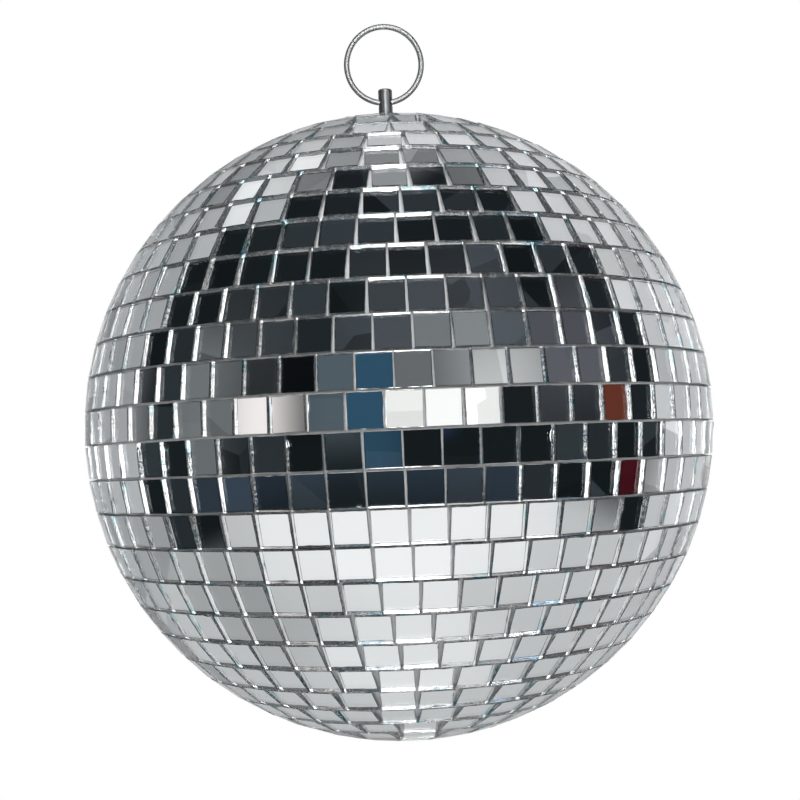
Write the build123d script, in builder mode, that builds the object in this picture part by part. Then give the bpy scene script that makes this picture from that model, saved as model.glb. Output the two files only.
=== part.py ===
from build123d import *
from math import atan, cos, degrees, pi, radians, sin, tan
from random import Random
import os

# Mirror ball, 20 cm over its mirrors, hung by a wire ring through a pin.
# Millimetres and degrees. The origin is the point that the ball hangs from: the inner top of the ring.
# +Z is up and the ring lies in the XZ plane. Heights named ..._HEIGHT count from the ball's centre.

# Mirror tiles: squares of silvered glass in rows, numbered from the top.
BALL_RADIUS = 100.0  # over the tiles' corners
TILE = 9.9
TILE_THICKNESS = 1.5
TILE_GAP = 0.38  # between two tiles of a row, where they are closest
ROWS = 29
UPPER_ROWS = 15  # those on the upper shell
ROW_ANGLE = 6.0  # from one row to the next, seen from the centre
CROWN_ANGLE = 1.5  # from the top pole to the first row's slot
FACE_RADIUS = (BALL_RADIUS**2 - TILE**2 / 2) ** 0.5
BACK_RADIUS = FACE_RADIUS - TILE_THICKNESS
TRIM_RADIUS = 25.0  # rows that reach nearer to the axis have their tiles trimmed to wedges
TRIM_SPACING = 0.75  # how far out along a trimmed tile the row is spaced for
CORNER_ROOM = 0.25  # how far a trimmed tile's outer corners may pass its outer edge's place

# Each tile is set by hand, so it sits a little off its place.
SHIFT = 0.06
TURN = 0.5
TILT = 0.45
TILT_LIMIT = 1.1
SEED = 20

# Woven ribbon under each row.
RIBBON_WIDTH = 10.0
RIBBON_THICKNESS = 0.25
GLUE = 0.3  # between the ribbon and the tiles
RIBBON_RADIUS = BACK_RADIUS - GLUE - RIBBON_THICKNESS / 2

# Plastic core of two half shells that lap at the equator.
SHELL_GLUE = 0.2  # between the shells and the ribbon
SHELL_RADIUS = RIBBON_RADIUS - RIBBON_THICKNESS / 2 - SHELL_GLUE
SHELL_WALL = 2.2
SHELL_BORE = SHELL_RADIUS - SHELL_WALL
LAP_RADIUS = SHELL_RADIUS - SHELL_WALL / 2
LAP_HEIGHT = 4.0
LAP_GAP = 0.15
BOSS_RADIUS = 14.0
BOSS_FLOOR_HEIGHT = 88.0
RIBS = 6
RIB_REACH = 38.0  # where the ribs run out into the wall
RIB_THICKNESS = 1.6

# Hanger pin: a post with a cross hole above a flange, and a shank below it.
POST_RADIUS = 2.25
POST_BASE_RADIUS = 2.5
POST_BASE_HEIGHT = 101.0
POST_TAPER = 1.6
POST_TOP_HEIGHT = 110.0
POST_CHAMFER = 0.3
PIP_RADIUS = 0.9  # what the parting tool leaves on top
PIP_HEIGHT = 0.35
HOLE_HEIGHT = 105.8
HOLE_RADIUS = 1.15
HOLE_CHAMFER = 0.2
FLANGE_RADIUS = 6.0
FLANGE_THICKNESS = 1.2
FLANGE_HEIGHT = 96.0  # its underside
FLANGE_CLEARANCE = 0.2
SHANK_RADIUS = 2.45  # M5
SHANK_LENGTH = 17.5
SHANK_CHAMFER = 0.6
SHANK_HOLE_RADIUS = 2.6

# Fasteners under the boss.
WASHER_RADIUS = 5.0
WASHER_HOLE_RADIUS = 2.65
WASHER_THICKNESS = 1.0
SPRING_RADIUS = 4.6
SPRING_THICKNESS = 1.2
SPRING_SPLIT = 0.8
NUT_ACROSS_FLATS = 8.0
NUT_THICKNESS = 4.0
NUT_HOLE_RADIUS = 2.5
NUT_FACE_RADIUS = 3.8
NUT_CORNER_RADIUS = NUT_ACROSS_FLATS / 2 / cos(pi / 6)
NUT_CHAMFER = 0.45

# Hanging ring of round wire with a butt joint.
WIRE_RADIUS = 0.9
RING_RADIUS = 12.5  # to the wire's centre
WIRE_DROP = 0.1  # of the wire's lowest point under the hole's axis
JOINT_ANGLE = 141.0  # round from +X, seen from the front
JOINT_GAP = 1.6  # an angle too

RING_HEIGHT = HOLE_HEIGHT - WIRE_DROP + RING_RADIUS
RING_Z = WIRE_RADIUS - RING_RADIUS
BALL_Z = RING_Z - RING_HEIGHT

rng = Random(SEED)
os.makedirs("parts", exist_ok=True)


def save(piece, name):
    """Labels a finished piece and writes it as its own node."""
    piece.part.label = name
    export_step(piece.part, f"parts/{name}.step")


def row_middle(row):
    """Angle from the top pole to the middle of a row."""
    return CROWN_ANGLE + ROW_ANGLE * (row - 0.5)


def tile_edges(row):
    """Distances from the ball's axis to a row's two edges, the one near its pole first."""
    angle = radians(row_middle(row))
    middle = FACE_RADIUS * sin(angle)
    reach = TILE / 2 * abs(cos(angle))
    return middle - reach, middle + reach


def tile_shape(row):
    """A row's tiles: their number, the width near the pole, and what is cut off the far edge."""
    near, far = tile_edges(row)
    if near > TRIM_RADIUS:
        return int(pi / atan((TILE + TILE_GAP) / 2 / near)), TILE, 0
    spacing = near + TRIM_SPACING * (far - near)
    count = int(pi / atan((TILE + TILE_GAP) / 2 / spacing))
    room = 2 * near * tan(pi / count) - TILE_GAP
    cut = far - ((far + CORNER_ROOM) ** 2 - (TILE / 2) ** 2) ** 0.5
    return count, min(TILE, room), cut


def tile_plane(row, turn):
    """The back of a tile at an angle round the axis: x to the right, y up, z outwards."""
    down, around = radians(row_middle(row)), radians(turn)
    outward = Vector(sin(down) * cos(around), sin(down) * sin(around), cos(down))
    right = Vector(-sin(around), cos(around), 0)
    centre = Vector(0, 0, BALL_Z) + outward * BACK_RADIUS + right * rng.uniform(-SHIFT, SHIFT)
    tilts = [max(-TILT_LIMIT, min(TILT_LIMIT, rng.gauss(0, TILT))) for _ in range(2)]
    plane = Plane(centre, x_dir=right, z_dir=outward)
    return plane.rotated((tilts[0], tilts[1], rng.uniform(-TURN, TURN)))


# The rows of mirrors. Each starts at an angle of its own, so the tiles don't line up from row to row.
for row in range(1, ROWS + 1):
    count, near_width, cut = tile_shape(row)
    start = rng.uniform(0, 360 / count)
    planes = [tile_plane(row, start + 360 / count * i) for i in range(count)]
    pole_side = 1 if row_middle(row) < 90 else -1
    near_y, far_y = pole_side * TILE / 2, pole_side * (cut - TILE / 2)
    with BuildPart() as mirror_row:
        with BuildSketch(*planes):
            with BuildLine():
                Polyline(
                    (-TILE / 2, far_y),
                    (TILE / 2, far_y),
                    (near_width / 2, near_y),
                    (-near_width / 2, near_y),
                    close=True,
                )
            make_face()
        extrude(amount=TILE_THICKNESS)
    save(mirror_row, f"mirror_row_{row:02d}")

# The tile that closes the bottom pole.
with BuildPart() as bottom_mirror:
    with BuildSketch(Plane.XY.offset(BALL_Z - FACE_RADIUS)):
        Rectangle(TILE, TILE, rotation=rng.uniform(0, 90))
    extrude(amount=TILE_THICKNESS)
save(bottom_mirror, "bottom_mirror")

# Ribbons: one conical band under each row, and a patch under the bottom tile.
section = Plane((0, 0, BALL_Z), x_dir=(1, 0, 0), z_dir=(0, -1, 0))
for half, first, last in (("upper", 1, UPPER_ROWS), ("lower", UPPER_ROWS + 1, ROWS)):
    angles = [radians(row_middle(row)) for row in range(first, last + 1)]
    spots = [
        Location((RIBBON_RADIUS * sin(a), RIBBON_RADIUS * cos(a), 0), (0, 0, -degrees(a)))
        for a in angles
    ]
    with BuildPart() as ribbons:
        with BuildSketch(section):
            with Locations(*spots):
                Rectangle(RIBBON_WIDTH, RIBBON_THICKNESS)
        revolve(axis=Axis.Z)
        if half == "lower":
            with Locations((0, 0, BALL_Z - RIBBON_RADIUS)):
                Box(RIBBON_WIDTH, RIBBON_WIDTH, RIBBON_THICKNESS)
    save(ribbons, f"backing_ribbons_{half}")

# Upper shell: half a hollow ball, with a rebate at the equator for the lower shell's lip,
# a boss and ribs under the pole, and a seat and a hole for the pin.
with BuildPart() as upper_shell:
    with PolarLocations(RIB_REACH / 2, RIBS):
        with Locations((0, 0, BALL_Z + BOSS_FLOOR_HEIGHT)):
            Box(
                RIB_REACH,
                RIB_THICKNESS,
                SHELL_RADIUS - BOSS_FLOOR_HEIGHT,
                align=(Align.CENTER, Align.CENTER, Align.MIN),
            )
    with Locations((0, 0, BALL_Z)):
        Sphere(LAP_RADIUS, mode=Mode.INTERSECT)
    with BuildSketch(section):
        Circle(SHELL_RADIUS)
        Circle(SHELL_BORE, mode=Mode.SUBTRACT)
        with Locations((0, BOSS_FLOOR_HEIGHT)):
            Rectangle(BOSS_RADIUS, SHELL_BORE - BOSS_FLOOR_HEIGHT, align=(Align.MIN, Align.MIN))
        Rectangle(
            SHELL_RADIUS, SHELL_RADIUS, align=(Align.MIN, Align.MIN), mode=Mode.INTERSECT
        )
        Rectangle(
            LAP_RADIUS + LAP_GAP / 2,
            LAP_HEIGHT + LAP_GAP,
            align=(Align.MIN, Align.MIN),
            mode=Mode.SUBTRACT,
        )
    revolve(axis=Axis.Z)
    with Locations((0, 0, BALL_Z + SHELL_RADIUS)):
        CounterBoreHole(
            SHANK_HOLE_RADIUS, FLANGE_RADIUS + FLANGE_CLEARANCE, SHELL_RADIUS - FLANGE_HEIGHT
        )
save(upper_shell, "upper_shell")

# Lower shell: the other half, with the lip that stands up inside the upper one.
with BuildPart() as lower_shell:
    with BuildSketch(section):
        Circle(SHELL_RADIUS)
        with Locations((0, LAP_HEIGHT)):
            Rectangle(
                2 * SHELL_RADIUS, SHELL_RADIUS, align=(Align.CENTER, Align.MIN), mode=Mode.SUBTRACT
            )
        with Locations((LAP_RADIUS - LAP_GAP / 2, 0)):
            Rectangle(
                SHELL_RADIUS, SHELL_RADIUS, align=(Align.MIN, Align.MIN), mode=Mode.SUBTRACT
            )
        Circle(SHELL_BORE, mode=Mode.SUBTRACT)
        Rectangle(
            SHELL_RADIUS, 2 * SHELL_RADIUS, align=(Align.MIN, Align.CENTER), mode=Mode.INTERSECT
        )
    revolve(axis=Axis.Z)
save(lower_shell, "lower_shell")

# Hanger pin, turned from one bar: shank, flange, tapered foot and post, then cross-drilled.
with BuildPart() as hanger_pin:
    with BuildSketch(section):
        with BuildLine():
            Polyline(
                (0, FLANGE_HEIGHT - SHANK_LENGTH),
                (SHANK_RADIUS - SHANK_CHAMFER, FLANGE_HEIGHT - SHANK_LENGTH),
                (SHANK_RADIUS, FLANGE_HEIGHT - SHANK_LENGTH + SHANK_CHAMFER),
                (SHANK_RADIUS, FLANGE_HEIGHT),
                (FLANGE_RADIUS, FLANGE_HEIGHT),
                (FLANGE_RADIUS, FLANGE_HEIGHT + FLANGE_THICKNESS),
                (POST_BASE_RADIUS, FLANGE_HEIGHT + FLANGE_THICKNESS),
                (POST_BASE_RADIUS, POST_BASE_HEIGHT),
                (POST_RADIUS, POST_BASE_HEIGHT + POST_TAPER),
                (POST_RADIUS, POST_TOP_HEIGHT - POST_CHAMFER),
                (POST_RADIUS - POST_CHAMFER, POST_TOP_HEIGHT),
                (PIP_RADIUS, POST_TOP_HEIGHT),
                (0, POST_TOP_HEIGHT + PIP_HEIGHT),
                close=True,
            )
        make_face()
    revolve(axis=Axis.Z)
    with BuildSketch(Plane((0, 0, BALL_Z + HOLE_HEIGHT), x_dir=(0, 1, 0), z_dir=(1, 0, 0))):
        Circle(HOLE_RADIUS)
    extrude(amount=2 * POST_RADIUS, both=True, mode=Mode.SUBTRACT)
    chamfer(hanger_pin.edges().filter_by(GeomType.BSPLINE), HOLE_CHAMFER)
save(hanger_pin, "hanger_pin")

# Washer, spring washer and nut, up against the boss.
washer_z = BALL_Z + BOSS_FLOOR_HEIGHT - WASHER_THICKNESS
with BuildPart() as pin_washer:
    with BuildSketch(Plane.XY.offset(washer_z)):
        Circle(WASHER_RADIUS)
        Circle(WASHER_HOLE_RADIUS, mode=Mode.SUBTRACT)
    extrude(amount=WASHER_THICKNESS)
save(pin_washer, "pin_washer")

spring_z = washer_z - SPRING_THICKNESS
with BuildPart() as spring_washer:
    with BuildSketch(Plane.XY.offset(spring_z)):
        Circle(SPRING_RADIUS)
        Circle(WASHER_HOLE_RADIUS, mode=Mode.SUBTRACT)
        with Locations((SPRING_RADIUS, 0)):
            Rectangle(SPRING_RADIUS, SPRING_SPLIT, mode=Mode.SUBTRACT)
    extrude(amount=SPRING_THICKNESS)
save(spring_washer, "spring_washer")

nut_z = spring_z - NUT_THICKNESS
with BuildPart() as pin_nut:
    with BuildSketch(Plane.XY.offset(nut_z)):
        RegularPolygon(NUT_ACROSS_FLATS / 2, 6, major_radius=False)
        Circle(NUT_HOLE_RADIUS, mode=Mode.SUBTRACT)
    extrude(amount=NUT_THICKNESS)
    with BuildSketch(Plane((0, 0, nut_z), x_dir=(1, 0, 0), z_dir=(0, -1, 0))):
        with BuildLine():
            Polyline(
                (0, 0),
                (NUT_FACE_RADIUS, 0),
                (NUT_CORNER_RADIUS, NUT_CHAMFER),
                (NUT_CORNER_RADIUS, NUT_THICKNESS - NUT_CHAMFER),
                (NUT_FACE_RADIUS, NUT_THICKNESS),
                (0, NUT_THICKNESS),
                close=True,
            )
        make_face()
    revolve(axis=Axis.Z, mode=Mode.INTERSECT)
save(pin_nut, "pin_nut")

# Hanging ring: one wire bent round until its ends all but meet.
with BuildPart() as hanging_ring:
    start = radians(JOINT_ANGLE + JOINT_GAP / 2)
    spoke = Vector(cos(start), 0, sin(start))
    along = Vector(-sin(start), 0, cos(start))
    with BuildSketch(Plane(Vector(0, 0, RING_Z) + spoke * RING_RADIUS, x_dir=spoke, z_dir=along)):
        Circle(WIRE_RADIUS)
    revolve(axis=Axis((0, 0, RING_Z), (0, -1, 0)), revolution_arc=360 - JOINT_GAP)
save(hanging_ring, "hanging_ring")
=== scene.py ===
import math
import random

import bmesh
import bpy
from mathutils import Matrix, Vector


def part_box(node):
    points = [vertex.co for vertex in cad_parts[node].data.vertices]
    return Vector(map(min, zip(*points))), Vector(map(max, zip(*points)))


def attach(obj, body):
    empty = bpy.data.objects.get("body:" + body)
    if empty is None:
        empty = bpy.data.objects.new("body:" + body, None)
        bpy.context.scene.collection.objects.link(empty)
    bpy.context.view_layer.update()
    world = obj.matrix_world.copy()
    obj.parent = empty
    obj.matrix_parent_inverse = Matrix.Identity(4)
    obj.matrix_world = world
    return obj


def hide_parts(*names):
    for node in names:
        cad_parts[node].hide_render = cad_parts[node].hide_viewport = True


# Mirror ball on its wire ring. Metres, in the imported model's frame: +Z up, the front towards -Y.

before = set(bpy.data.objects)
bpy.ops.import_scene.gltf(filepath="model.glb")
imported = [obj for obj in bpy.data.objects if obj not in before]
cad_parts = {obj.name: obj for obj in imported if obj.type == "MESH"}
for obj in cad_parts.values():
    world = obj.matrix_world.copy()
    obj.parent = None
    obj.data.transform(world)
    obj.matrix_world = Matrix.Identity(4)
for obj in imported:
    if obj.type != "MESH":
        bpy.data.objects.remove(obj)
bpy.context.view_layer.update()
MM = 0.001
MICRON = 6  # decimals of a metre

# The ball's centre is at the height of the shells' parting line.
CENTRE = Vector((0, 0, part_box("upper_shell")[0].z))
UP = Vector((0, 0, 1))

# Camera: how far from the ball's centre, in ball radii, how high, and how it frames the ball.
BALL_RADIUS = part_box("mirror_row_15")[1].x
CAMERA_DISTANCE = 4.964 * BALL_RADIUS
CAMERA_ELEVATION = math.radians(-1.2)
CAMERA_ROLL = math.radians(2.4)
CAMERA_LENS = 68.8
CAMERA_SHIFT = (0.0012, 0.0335)
CAMERA_CLIP_START = 0.01

# Glass tiles: their materials' slots, and what cutting does to their edges.
GLASS, EDGE, SILVER = range(3)
GLASS_IOR = 1.52
EDGE_STEPS = 6  # along each side of a tile
EDGE_LEVELS = (  # depth in the glass from 0 to 1, distance in from the nominal edge, its spread, chips' share
    (0.0, 0.09 * MM, 0.05 * MM, 1.0),
    (0.12, 0.03 * MM, 0.03 * MM, 0.6),
    (0.5, 0.03 * MM, 0.03 * MM, 0.0),
    (1.0, 0.05 * MM, 0.04 * MM, 0.0),
)
CHIP_CHANCE = 0.05
CHIP_SIZE = 0.22 * MM
SLAB_CORNERS = 8  # of a tile or of the square of ribbon, in the CAD
SAME_POINT = 0.01 * MM  # corners nearer than this are one
FACES_POLE = 0.01  # a slab whose sideways direction is shorter than this lies at a pole

# Ribbons under the tiles: conical bands of woven ribbon, each a length with its ends butted.
RIBBON_STEPS = 144  # round a band
RIBBON_SPANS = 4  # across a band
RIBBON_BUTT = 0.7 * MM  # between a band's two ends
RIBBON_BUTT_ANGLES = (1, 2)  # where the ends meet, in radians from +X
RIBBON_INSET = 0.06 * MM  # how far in each woven edge lies on average, before its fraying
RIBBON_WAVE = 0.6  # how much of that comes and goes in waves
RIBBON_FRAY = 0.4  # how much more is added at random
RIBBON_WAVES = 9  # round a band
THREAD = 0.45 * MM  # from one thread to the next
WAVE_TEXTURE_SCALE = 20  # the Wave Texture's phase per unit length at a scale of 1

# Ring: round wire bent to a circle, its ends butted, a little taller than wide.
RING_SQUASH = 0.35 * MM
RING_STEPS = 180
RING_SIDES = 24
RING_BUTT_ANGLE = math.radians(141)
RING_BUTT = 0.34 * MM
RING_END_ROUNDING = 0.12 * MM
RING_SMOOTH_ANGLE = math.radians(40)

# Floor: a round disc under the ball.
FLOOR_RADIUS = 1.2
FLOOR_DROP = 0.8
FLOOR_SIDES = 96

SEED = 7
rng = random.Random(SEED)


# Camera

def front(elevation):
    """The direction in front of the ball at this elevation."""
    return Vector((0, -math.cos(elevation), math.sin(elevation)))


def make_camera():
    data = bpy.data.cameras.new("camera")
    data.lens = CAMERA_LENS
    data.shift_x, data.shift_y = CAMERA_SHIFT
    data.clip_start = CAMERA_CLIP_START
    camera = bpy.data.objects.new("camera", data)
    away = front(CAMERA_ELEVATION)
    camera.location = CENTRE + away * CAMERA_DISTANCE
    look = (-away).to_track_quat("-Z", "Y").to_matrix()
    camera.rotation_euler = (look @ Matrix.Rotation(-CAMERA_ROLL, 3, "Z")).to_euler()
    bpy.context.scene.collection.objects.link(camera)
    bpy.context.scene.camera = camera


# Materials

class Nodes:
    """A node tree with short ways to add what the materials share."""

    def __init__(self, tree):
        self.tree = tree
        self.tree.nodes.clear()

    def add(self, kind, inputs=None, **settings):
        """Adds a node. Each input is a value, or another node's output to link to it."""
        node = self.tree.nodes.new(kind)
        for key, value in settings.items():
            setattr(node, key, value)
        for key, value in (inputs or {}).items():
            if isinstance(value, bpy.types.NodeSocket):
                self.tree.links.new(value, node.inputs[key])
            else:
                node.inputs[key].default_value = value
        return node

    def math(self, operation, a, b=0.0):
        return self.add("ShaderNodeMath", {0: a, 1: b}, operation=operation).outputs[0]

    def remap(self, value, low, high, to_low, to_high):
        """Goes smoothly from to_low to to_high as value goes from low to high."""
        inputs = {"Value": value, "From Min": low, "From Max": high, "To Min": to_low, "To Max": to_high}
        return self.add("ShaderNodeMapRange", inputs, interpolation_type="SMOOTHSTEP").outputs["Result"]

    def place(self, scale=(1, 1, 1)):
        where = self.add("ShaderNodeTexCoord").outputs["Object"]
        return self.add("ShaderNodeMapping", {"Vector": where, "Scale": scale}).outputs["Vector"]

    def noise(self, vector, scale, detail=3.0, roughness=0.5):
        inputs = {"Vector": vector, "Scale": scale, "Detail": detail, "Roughness": roughness}
        return self.add("ShaderNodeTexNoise", inputs).outputs["Fac"]

    def blend(self, share, low, high):
        """Mixes two colours: the Mix node's sockets 6, 7 and 2 are its colours."""
        return self.add("ShaderNodeMix", {0: share, 6: low, 7: high}, data_type="RGBA").outputs[2]

    def bump(self, height, distance, strength):
        inputs = {"Height": height, "Distance": distance, "Strength": strength}
        return self.add("ShaderNodeBump", inputs).outputs["Normal"]


def grey(value):
    return (value, value, value, 1.0)


def rgba(colour, times):
    """A colour made brighter or darker, with its alpha."""
    return (*(times * part for part in colour), 1.0)


def material(name, build):
    """A material with one Principled shader, which build fills in from a Nodes helper."""
    made = bpy.data.materials.new(name)
    made.use_nodes = True
    nodes = Nodes(made.node_tree)
    shader = nodes.add("ShaderNodeBsdfPrincipled", build(nodes))
    nodes.add("ShaderNodeOutputMaterial", {"Surface": shader.outputs["BSDF"]})
    return made


def clear_glass(nodes):
    """The front of a tile: clear float glass with a trace of smears."""
    smears = nodes.noise(nodes.place(), 90, 4)
    return {
        "Base Color": (0.975, 0.989, 0.994, 1),
        "Roughness": nodes.remap(smears, 0.55, 0.85, 0.0, 0.02),
        "IOR": GLASS_IOR,
        "Transmission Weight": 1.0,
    }


def silvering(nodes):
    """The silver behind the glass, with faint clouds in it."""
    clouds = nodes.noise(nodes.place(), 60, 3)
    return {
        "Base Color": nodes.blend(clouds, (0.90, 0.915, 0.92, 1), (0.95, 0.955, 0.955, 1)),
        "Roughness": nodes.remap(nodes.noise(nodes.place(), 300, 2), 0.4, 0.8, 0.003, 0.012),
        "Metallic": 1.0,
    }


def cut_edge(nodes):
    """The snapped sides of a tile: glass with fine ripples and frosted flecks."""
    ripples = nodes.noise(nodes.place((1, 1, 0.4)), 2200, 3)
    flecks = nodes.noise(nodes.place(), 1400, 3, 0.7)
    tint = nodes.noise(nodes.place(), 160, 3, 0.6)
    return {
        "Base Color": nodes.blend(nodes.remap(tint, 0.34, 0.46, 0, 1), (0.30, 0.70, 0.82, 1), grey(1.0)),
        "Roughness": nodes.remap(flecks, 0.4, 0.65, 0.08, 0.3),
        "IOR": GLASS_IOR,
        "Transmission Weight": 0.9,
        "Metallic": 0.4,
        "Normal": nodes.bump(ripples, 0.06 * MM, 0.6),
    }


def woven(nodes):
    """White woven ribbon: threads over and under each other, a little grey with glue, and painted shade in
    the hollows between the threads.
    """
    threads = []
    scale = math.tau / THREAD / WAVE_TEXTURE_SCALE
    for direction in ("X", "Y"):
        along = nodes.add("ShaderNodeTexCoord").outputs["UV"]
        inputs = {"Vector": along, "Scale": scale, "Distortion": 0.4}
        wave = nodes.add("ShaderNodeTexWave", inputs, wave_type="BANDS", bands_direction=direction)
        threads.append(wave.outputs["Fac"])
    # Where the threads cross: this raises the bump, and it also darkens the colour in the hollows as painted
    # shade.
    height = nodes.math("MULTIPLY", threads[0], threads[1])
    stain = nodes.noise(nodes.place(), 140, 4)
    cloth = nodes.blend(stain, (0.62, 0.63, 0.64, 1), (0.78, 0.79, 0.80, 1))
    return {
        # Painted shade: the base colour goes to dark grey in the hollows between the threads.
        "Base Color": nodes.blend(height, (0.48, 0.49, 0.50, 1), cloth),
        "Roughness": nodes.remap(stain, 0.3, 0.7, 0.75, 0.95),
        "Sheen Weight": 0.3,
        "Normal": nodes.bump(height, 0.08 * MM, 0.7),
    }


def plated_wire(nodes):
    """Bright plating over drawn wire, with slow waves in it and a few dull spots."""
    dull = nodes.noise(nodes.place(), 90, 1)
    waves = nodes.noise(nodes.place(), 60, 0)
    return {
        "Base Color": nodes.blend(dull, (0.50, 0.505, 0.51, 1), (0.64, 0.645, 0.65, 1)),
        "Roughness": nodes.remap(dull, 0.3, 0.7, 0.43, 0.48),
        "Metallic": 1.0,
        "Specular Tint": grey(0.0),
        "Normal": nodes.bump(waves, 0.01 * MM, 0.2),
    }


def turned_steel(nodes):
    """Turned and plated bar: fine rings from the tool round its axis."""
    rings = nodes.noise(nodes.place((0.02, 0.02, 1)), 2600, 2)
    dull = nodes.noise(nodes.place(), 400, 3)
    return {
        "Base Color": nodes.blend(dull, (0.30, 0.305, 0.31, 1), (0.38, 0.385, 0.39, 1)),
        "Roughness": nodes.remap(dull, 0.35, 0.7, 0.33, 0.39),
        "Metallic": 1.0,
        "Specular Tint": grey(0.0),
        "Normal": nodes.bump(rings, 0.015 * MM, 0.3),
    }


def zinc_steel(nodes):
    spangle = nodes.noise(nodes.place(), 700, 2)
    return {
        "Base Color": nodes.blend(spangle, (0.50, 0.51, 0.53, 1), (0.68, 0.69, 0.70, 1)),
        "Roughness": nodes.remap(spangle, 0.3, 0.7, 0.3, 0.5),
        "Metallic": 1.0,
        "Normal": nodes.bump(spangle, 0.01 * MM, 0.4),
    }


def moulded_core(nodes):
    grain = nodes.noise(nodes.place(), 900, 3)
    tone = nodes.noise(nodes.place(), 25, 3)
    return {
        "Base Color": nodes.blend(tone, (0.62, 0.62, 0.60, 1), (0.72, 0.72, 0.70, 1)),
        "Roughness": nodes.remap(grain, 0.3, 0.7, 0.5, 0.7),
        "Normal": nodes.bump(grain, 0.03 * MM, 0.4),
    }


def pale_floor(nodes):
    return {
        "Base Color": nodes.blend(nodes.noise(nodes.place(), 3), grey(0.86), grey(0.9)),
        "Roughness": 0.8,
    }


# Pieces

def new_piece(name, points, faces, materials, slots=None, body="ball"):
    mesh = bpy.data.meshes.new(name)
    mesh.from_pydata(points, [], faces)
    for each in materials:
        mesh.materials.append(each)
    if slots:
        mesh.polygons.foreach_set("material_index", slots)
    mesh.update()
    piece = bpy.data.objects.new(name, mesh)
    bpy.context.scene.collection.objects.link(piece)
    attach(piece, body)
    return piece


def cad_solids(node):
    """The separate solids of a CAD node, each as a list of its points."""
    bm = bmesh.new()
    bm.from_mesh(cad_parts[node].data)
    bmesh.ops.remove_doubles(bm, verts=bm.verts, dist=SAME_POINT)
    left, solids = set(bm.verts), []
    for start in list(bm.verts):
        if start not in left:
            continue
        points, todo = [], [start]
        left.discard(start)
        while todo:
            vert = todo.pop()
            points.append(vert.co.copy())
            for edge in vert.link_edges:
                other = edge.other_vert(vert)
                if other in left:
                    left.discard(other)
                    todo.append(other)
        solids.append(points)
    bm.free()
    return solids


def front_and_back(corners):
    """A tile's four front corners, anticlockwise from outside, and the four behind them."""
    middle = sum(corners, Vector()) / len(corners)
    outward = (middle - CENTRE).normalized()
    right = UP.cross(outward)
    right = right.normalized() if right.length > FACES_POLE else Vector((1, 0, 0))
    above = outward.cross(right)
    corners = sorted(corners, key=lambda point: point.dot(outward))

    def turn(point):
        return math.atan2((point - middle).dot(above), (point - middle).dot(right))

    half = SLAB_CORNERS // 2
    return sorted(corners[half:], key=turn), sorted(corners[:half], key=turn)


def add_tile(points, faces, slots, front, back):
    """Adds one tile's glass: a flat front and back joined by cut sides with chips along the arris."""
    base = len(points)
    outward = (front[1] - front[0]).cross(front[2] - front[1]).normalized()
    inward = [outward.cross(front[(k + 1) % 4] - front[k]).normalized() for k in range(4)]
    around = 4 * EDGE_STEPS
    chips = [CHIP_SIZE * rng.random() if rng.random() < CHIP_CHANCE else 0 for _ in range(around)]
    for depth, inset, spread, chipped in EDGE_LEVELS:
        for k in range(4):
            for step in range(EDGE_STEPS):
                share = step / EDGE_STEPS
                at_front = front[k].lerp(front[(k + 1) % 4], share)
                at_back = back[k].lerp(back[(k + 1) % 4], share)
                way = inward[k] + inward[k - 1] if step == 0 else inward[k]
                chip = chips[k * EDGE_STEPS + step] * chipped
                into = way * (inset + spread * rng.random() + chip)
                points.append(at_front.lerp(at_back, depth) + into)
    levels = len(EDGE_LEVELS)
    faces.append([base + i for i in range(around)])
    slots.append(GLASS)
    for level in range(levels - 1):
        for i in range(around):
            upper, lower = base + level * around, base + (level + 1) * around
            j = (i + 1) % around
            faces.append([upper + i, lower + i, lower + j, upper + j])
            slots.append(GLASS if level == 0 else EDGE)
    faces.append([base + (levels - 1) * around + i for i in reversed(range(around))])
    slots.append(SILVER)


def make_tiles(glass, edge, silver):
    for node in sorted(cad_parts):
        if not node.startswith("mirror_row") and node != "bottom_mirror":
            continue
        points, faces, slots = [], [], []
        for corners in cad_solids(node):
            add_tile(points, faces, slots, *front_and_back(corners))
        piece = new_piece(node + "_glass", points, faces, (glass, edge, silver), slots)
        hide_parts(node)


def band_profile(solid):
    """A conical band's section, as (radius, height) of its outer and then inner edges, top first."""
    profile = sorted({(round(math.hypot(p.x, p.y), MICRON), round(p.z, MICRON)) for p in solid})
    by_height = sorted(profile, key=lambda point: point[1])
    middle = (by_height[0][1] + by_height[-1][1]) / 2
    groups = []
    for side in (1, -1):
        half = [point for point in profile if (point[1] - middle) * side > 0]
        size = [math.hypot(r, z - CENTRE.z) for r, z in half]
        groups.append((half[size.index(max(size))], half[size.index(min(size))]))
    (top_out, top_in), (low_out, low_in) = groups
    return top_out, low_out, top_in, low_in


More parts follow.
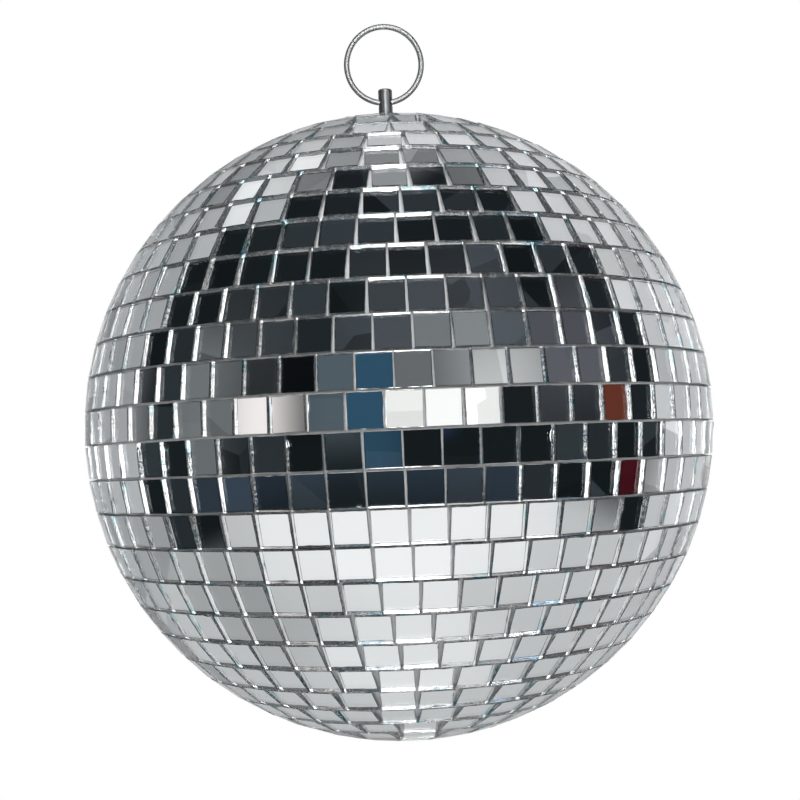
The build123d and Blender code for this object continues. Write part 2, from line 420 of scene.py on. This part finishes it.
def add_band(points, faces, uvs, profile, butt_angle):
    """Adds a ribbon bent to a conical band: two faces, two woven edges that wave a little, two ends."""
    top_out, low_out, top_in, low_in = profile
    base = len(points)
    width = math.dist(top_out, low_out)
    radius = (top_out[0] + low_out[0]) / 2
    start = RIBBON_BUTT / 2 / radius
    phase = rng.uniform(0, math.tau)
    around = 2 * (RIBBON_SPANS + 1)
    for i in range(RIBBON_STEPS + 1):
        turn = start + (math.tau - 2 * start) * i / RIBBON_STEPS
        wave = RIBBON_WAVE * math.sin(RIBBON_WAVES * turn + phase)
        inset = RIBBON_INSET * (1 + wave + RIBBON_FRAY * rng.random()) / width
        for outer in (True, False):
            top, low = (top_out, low_out) if outer else (top_in, low_in)
            for j in range(RIBBON_SPANS + 1):
                share = inset + (1 - 2 * inset) * j / RIBBON_SPANS
                share = share if outer else 1 - share
                r, z = (a + (b - a) * share for a, b in zip(top, low))
                angle = butt_angle + turn
                points.append(Vector((r * math.cos(angle), r * math.sin(angle), z)))
                uvs.append((turn * radius, share * width))
    for i in range(RIBBON_STEPS):
        for j in range(around):
            a, b = base + i * around, base + (i + 1) * around
            k = (j + 1) % around
            faces.append([a + j, a + k, b + k, b + j])
    for row, way in ((0, 1), (RIBBON_STEPS, -1)):
        ends = [base + row * around + j for j in range(around)]
        for j in range(RIBBON_SPANS):
            quad = [ends[j], ends[around - 1 - j], ends[around - 2 - j], ends[j + 1]]
            faces.append(quad[::way])
    return radius * (math.tau - 2 * start)


def add_patch(points, faces, uvs, corners):
    """Adds the square of ribbon under the bottom tile."""
    base = len(points)
    outer, inner = front_and_back(corners)
    side = (outer[1] - outer[0]).length
    points.extend(outer + inner)
    uvs.extend([(0, 0), (side, 0), (side, side), (0, side)] * 2)
    faces.append([base, base + 1, base + 2, base + 3])
    faces.append([base + 7, base + 6, base + 5, base + 4])
    for k in range(4):
        j = (k + 1) % 4
        faces.append([base + k, base + 4 + k, base + 4 + j, base + j])
    return side


def make_ribbons(half, weave):
    node = f"backing_ribbons_{half}"
    points, faces, uvs, length = [], [], [], 0
    for solid in cad_solids(node):
        if len(solid) > SLAB_CORNERS:
            length += add_band(points, faces, uvs, band_profile(solid), rng.uniform(*RIBBON_BUTT_ANGLES))
        else:
            length += add_patch(points, faces, uvs, solid)
    piece = new_piece(f"ribbon_bands_{half}", points, faces, (weave,))
    layer = piece.data.uv_layers.new(name="weave")
    for loop in piece.data.loops:
        layer.data[loop.index].uv = uvs[loop.vertex_index]
    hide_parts(node)


def add_wire_end(points, faces, first, way):
    """Closes the wire with a cut face a little smaller than the wire, just past its last circle."""
    circle = points[first:first + RING_SIDES]
    middle = sum(circle, Vector()) / RING_SIDES
    normal = (circle[1] - circle[0]).cross(circle[2] - circle[1]).normalized()
    base = len(points)
    size = (circle[0] - middle).length
    step = normal * (RING_END_ROUNDING / 2) * way
    for point in circle:
        points.append(middle + (point - middle) * (1 - RING_END_ROUNDING / size) + step)
    for side in range(RING_SIDES):
        other = (side + 1) % RING_SIDES
        quad = [first + side, first + other, base + other, base + side]
        faces.append(quad[::way])
    faces.append([base + side for side in range(RING_SIDES)][::way])


def make_ring(plating):
    """The wire ring, with softened ends where the wire was cut."""
    low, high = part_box("hanging_ring")
    wire = high.y
    middle = (low + high) / 2
    radius = (high.x - low.x) / 2 - wire
    half_gap = RING_BUTT / 2 / radius
    points, faces = [], []
    for i in range(RING_STEPS + 1):
        share = i / RING_STEPS
        angle = RING_BUTT_ANGLE + half_gap + (math.tau - 2 * half_gap) * share
        out = Vector((math.cos(angle), 0, math.sin(angle)))
        centre = middle + out * (radius - RING_SQUASH * out.x ** 2)
        for side in range(RING_SIDES):
            around = math.tau * side / RING_SIDES
            points.append(centre + (out * math.cos(around) + Vector((0, math.sin(around), 0))) * wire)
    for i in range(RING_STEPS):
        for side in range(RING_SIDES):
            a, b = i * RING_SIDES, (i + 1) * RING_SIDES
            other = (side + 1) % RING_SIDES
            faces.append([a + side, b + side, b + other, a + other])
    for row, way in ((0, 1), (RING_STEPS, -1)):
        add_wire_end(points, faces, row * RING_SIDES, way)
    piece = new_piece("wire_ring", points, faces, (plating,), body="ring")
    piece.data.polygons.foreach_set("use_smooth", [True] * len(piece.data.polygons))
    piece.data.set_sharp_from_angle(angle=RING_SMOOTH_ANGLE)
    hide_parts("hanging_ring")


def paint(node, finish):
    """Gives a CAD node its material."""
    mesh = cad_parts[node].data
    mesh.materials.clear()
    mesh.materials.append(finish)


# The studio: what the mirrors see. The camera itself sees plain white behind the ball.
# Each panel: azimuth from the camera's side towards +X, elevation, half width, half height and how soft
# its edges are, all in degrees, then its colour and brightness. A later panel covers an earlier one.

STUDIO_BASE = (0.50, 0.505, 0.51)  # where there is no panel
STUDIO_SHADES = (0.7, 1.3)  # its darkest and lightest
MOTTLE_SCALE = 4.0  # how fine the change between them is
STUDIO = {
    "left_wall": (-128, 22, 30, 46, 14, (0.38, 0.39, 0.40), 1.0),
    "left_lamps": (-140, 60, 26, 12, 8, (0.85, 0.86, 0.86), 1.0),
    "right_wall": (138, 22, 34, 46, 14, (0.62, 0.62, 0.63), 1.0),
    "ceiling_back": (180, 76, 70, 14, 6, (0.24, 0.245, 0.25), 1.0),
    "floor": (0, -70, 181, 43, 2, (0.56, 0.57, 0.575), 1.0),
    "floor_below": (0, -85, 181, 17, 8, (0.80, 0.81, 0.81), 1.0),
    "floor_front": (0, -38, 62, 14, 10, (0.98, 0.98, 0.98), 0.9),
    "floor_near": (0, -48, 32, 16, 12, (1.0, 1.0, 1.0), 0.95),
    "floor_side": (-95, -45, 22, 17, 12, (0.34, 0.35, 0.35), 1.0),
    "dark_room": (0, 25, 104, 52, 2, (0.009, 0.0125, 0.0145), 1.0),
    "dark_ceiling": (0, 82, 140, 11, 5, (0.012, 0.015, 0.018), 1.0),
    "clutter": (-62, 26, 16, 12, 6, (0.045, 0.05, 0.055), 1.0),
    "lit_back_wall": (18, 40, 34, 15, 8, (0.060, 0.068, 0.078), 1.0),
    "door": (24, 28, 14, 7, 3, (0.20, 0.215, 0.22), 1.0),
    "shelves": (18, 19, 30, 7, 3, (0.16, 0.17, 0.18), 1.0),
    "right_haze": (68, 20, 16, 14, 5, (0.10, 0.105, 0.12), 1.0),
    "cabinet": (-70, 4, 9, 22, 2, (0.14, 0.15, 0.155), 1.0),
    "post": (-33, 10, 5, 18, 1, (0.004, 0.005, 0.006), 1.0),
    "blue_board": (-9.5, 5, 6, 20, 2, (0.03, 0.085, 0.14), 1.0),
    "blue_grey": (-21, 8, 6, 16, 2, (0.09, 0.12, 0.14), 1.0),
    "window": (17.5, 5, 20.5, 7.5, 1.5, (1.0, 0.99, 0.97), 1.1),
    "window_top": (34, 16, 14, 5, 3, (0.75, 0.76, 0.76), 1.0),
    "window_left": (-46, 5, 8, 7.5, 2, (1.0, 0.93, 0.91), 1.2),
    "lamp": (51.5, 4.5, 2.2, 5, 1.2, (1.0, 0.99, 0.98), 8.0),
    "brick": (83, 4, 4, 7, 1, (0.12, 0.032, 0.02), 1.0),
    "dark_red": (90, -15, 6, 6, 1, (0.05, 0.006, 0.010), 1.0),
    "low_shelf": (-20, -17, 60, 4, 2, (0.03, 0.045, 0.065), 1.0),
    "blue_lamp": (60, 5, 2, 6, 2, (0.55, 0.75, 1.0), 4.0),
    "small_blue": (18, -5, 2, 1.2, 1, (0.12, 0.24, 0.6), 1.0),
    "flash": (3, -1.9, 9, 3.0, 0.6, (1.0, 0.99, 0.98), 14.0),
}
# Lamps one above another in front. Each is at a height between those that this row of mirrors and the
# next one up show the camera, so that only the cut edges catch it.
LADDER_ROWS = (17, 15, 14, 13, 12, 11)
LADDER_LAMP = (0, 14, 3.0, 0.6, (1.0, 1.0, 1.0), 5.5)  # a panel without its elevation
# Lamps that only matt surfaces see: azimuth, elevation and strength.
LAMPS = ((0, 38, 1.2), (90, 4, 1.5), (180, 4, 1.5), (270, 4, 1.5), (30, 75, 1.8))
LAMP_ANGLE = math.radians(12)
CLUTTER_SCALE = 7.0  # how fine the room's patches are
CLUTTER_SHADES = (0.70, 1.25)  # the shades that they give to what is there
CLUTTER_GLOW = (0.028, 0.034, 0.039)  # what the brightest of them add in the dark
CLUTTER_CONTRAST = 4.0  # the higher, the fewer of them are bright
CLUTTER_FOOT = (-30, -24)  # the elevations, in degrees, between which they fade out above the floor


def shown_elevation(row):
    """The elevation, in degrees, of what the front mirror of a row shows the camera."""
    low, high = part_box(f"mirror_row_{row:02d}")
    outward = front(math.asin(((low.z + high.z) / 2 - CENTRE.z) / BALL_RADIUS))
    ray = outward * BALL_RADIUS - front(CAMERA_ELEVATION) * CAMERA_DISTANCE
    return math.degrees(math.asin(ray.normalized().reflect(outward).z))


def studio_panels():
    azimuth, *rest = LADDER_LAMP
    heights = [(shown_elevation(row) + shown_elevation(row - 1)) / 2 for row in LADDER_ROWS]
    return [*STUDIO.values(), *((azimuth, height, *rest) for height in heights)]


def panel_share(nodes, azimuth, elevation, panel):
    """How much of a panel shows in each direction: 1 inside, 0 outside, and smooth between."""
    middle, height, half_width, half_height, soft = (math.radians(size) for size in panel)
    across = nodes.math("PINGPONG", nodes.math("SUBTRACT", azimuth, middle), math.pi)
    up = nodes.math("ABSOLUTE", nodes.math("SUBTRACT", elevation, height))
    within_width = nodes.remap(across, half_width - soft, half_width + soft, 1.0, 0.0)
    within_height = nodes.remap(up, half_height - soft, half_height + soft, 1.0, 0.0)
    return nodes.math("MULTIPLY", within_width, within_height)


def add_clutter(nodes, way, above_floor, colour):
    """Breaks the room up into patches with straight edges, some darker and some lighter."""
    inputs = {"Vector": way, "Scale": CLUTTER_SCALE}
    cells = nodes.add("ShaderNodeTexVoronoi", inputs, distance="CHEBYCHEV").outputs["Color"]
    patch = nodes.add("ShaderNodeSeparateColor", {0: cells}).outputs
    low, high = CLUTTER_SHADES
    shade = nodes.math("ADD", nodes.math("MULTIPLY", patch[0], high - low), low - 1.0)
    shade = nodes.math("ADD", nodes.math("MULTIPLY", shade, above_floor), 1.0)
    bright = nodes.math("MULTIPLY", nodes.math("POWER", patch[1], CLUTTER_CONTRAST), above_floor)
    glow = nodes.add("ShaderNodeVectorMath", {0: CLUTTER_GLOW, "Scale": bright}, operation="SCALE")
    shaded = nodes.add("ShaderNodeVectorMath", {0: colour, "Scale": shade}, operation="SCALE")
    inputs = {0: shaded.outputs[0], 1: glow.outputs[0]}
    return nodes.add("ShaderNodeVectorMath", inputs, operation="ADD").outputs[0]


def make_studio():
    world = bpy.data.worlds.new("studio")
    bpy.context.scene.world = world
    world.use_nodes = True
    nodes = Nodes(world.node_tree)
    way = nodes.add("ShaderNodeTexCoord").outputs["Generated"]
    split = nodes.add("ShaderNodeSeparateXYZ", {0: way}).outputs
    azimuth = nodes.math("ARCTAN2", split["X"], nodes.math("MULTIPLY", split["Y"], -1.0))
    elevation = nodes.math("ARCSINE", split["Z"])
    mottle = nodes.noise(way, MOTTLE_SCALE)
    colour = nodes.blend(mottle, *(rgba(STUDIO_BASE, shade) for shade in STUDIO_SHADES))
    for *panel, tint, strength in studio_panels():
        share = panel_share(nodes, azimuth, elevation, panel)
        colour = nodes.blend(share, colour, rgba(tint, strength))
    above_floor = nodes.remap(elevation, *(math.radians(edge) for edge in CLUTTER_FOOT), 0.0, 1.0)
    colour = add_clutter(nodes, way, above_floor, colour)
    seen = nodes.add("ShaderNodeLightPath").outputs["Is Camera Ray"]
    shown = nodes.blend(seen, colour, grey(1.0))
    background = nodes.add("ShaderNodeBackground", {"Color": shown, "Strength": 1.0})
    nodes.add("ShaderNodeOutputWorld", {"Surface": background.outputs[0]})


def make_lamps():
    """Soft lamps that light the ribbons between the mirrors, and the floor."""
    for number, (azimuth, elevation, strength) in enumerate(LAMPS):
        data = bpy.data.lights.new(f"lamp_{number}", "SUN")
        data.energy = strength
        data.angle = LAMP_ANGLE
        lamp = bpy.data.objects.new(f"lamp_{number}", data)
        lamp.rotation_euler = (math.radians(90 - elevation), 0, math.radians(azimuth))
        lamp.visible_glossy = False
        lamp.visible_transmission = False
        bpy.context.scene.collection.objects.link(lamp)


def make_floor():
    """A pale round floor well below the ball, which the mirrors don't see."""
    bm = bmesh.new()
    bmesh.ops.create_circle(bm, cap_ends=True, segments=FLOOR_SIDES, radius=FLOOR_RADIUS)
    mesh = bpy.data.meshes.new("floor")
    bm.to_mesh(mesh)
    bm.free()
    floor = bpy.data.objects.new("floor", mesh)
    floor.location = CENTRE - UP * FLOOR_DROP
    floor.visible_glossy = False
    floor.visible_transmission = False
    mesh.materials.append(material("pale_floor", pale_floor))
    bpy.context.scene.collection.objects.link(floor)


scene = bpy.context.scene
scene.view_settings.view_transform = "Standard"

make_camera()
make_studio()
make_lamps()
make_floor()

make_tiles(material("tile_glass", clear_glass), material("tile_cut_edge", cut_edge),
           material("tile_silvering", silvering))
WOVEN = material("ribbon_weave", woven)
make_ribbons("upper", WOVEN)
make_ribbons("lower", WOVEN)
make_ring(material("ring_plating", plated_wire))
CORE = material("core_plastic", moulded_core)
for node in ("upper_shell", "lower_shell"):
    paint(node, CORE)
ZINC = material("zinc_steel", zinc_steel)
for node in ("pin_washer", "spring_washer", "pin_nut"):
    paint(node, ZINC)
paint("hanger_pin", material("pin_steel", turned_steel))
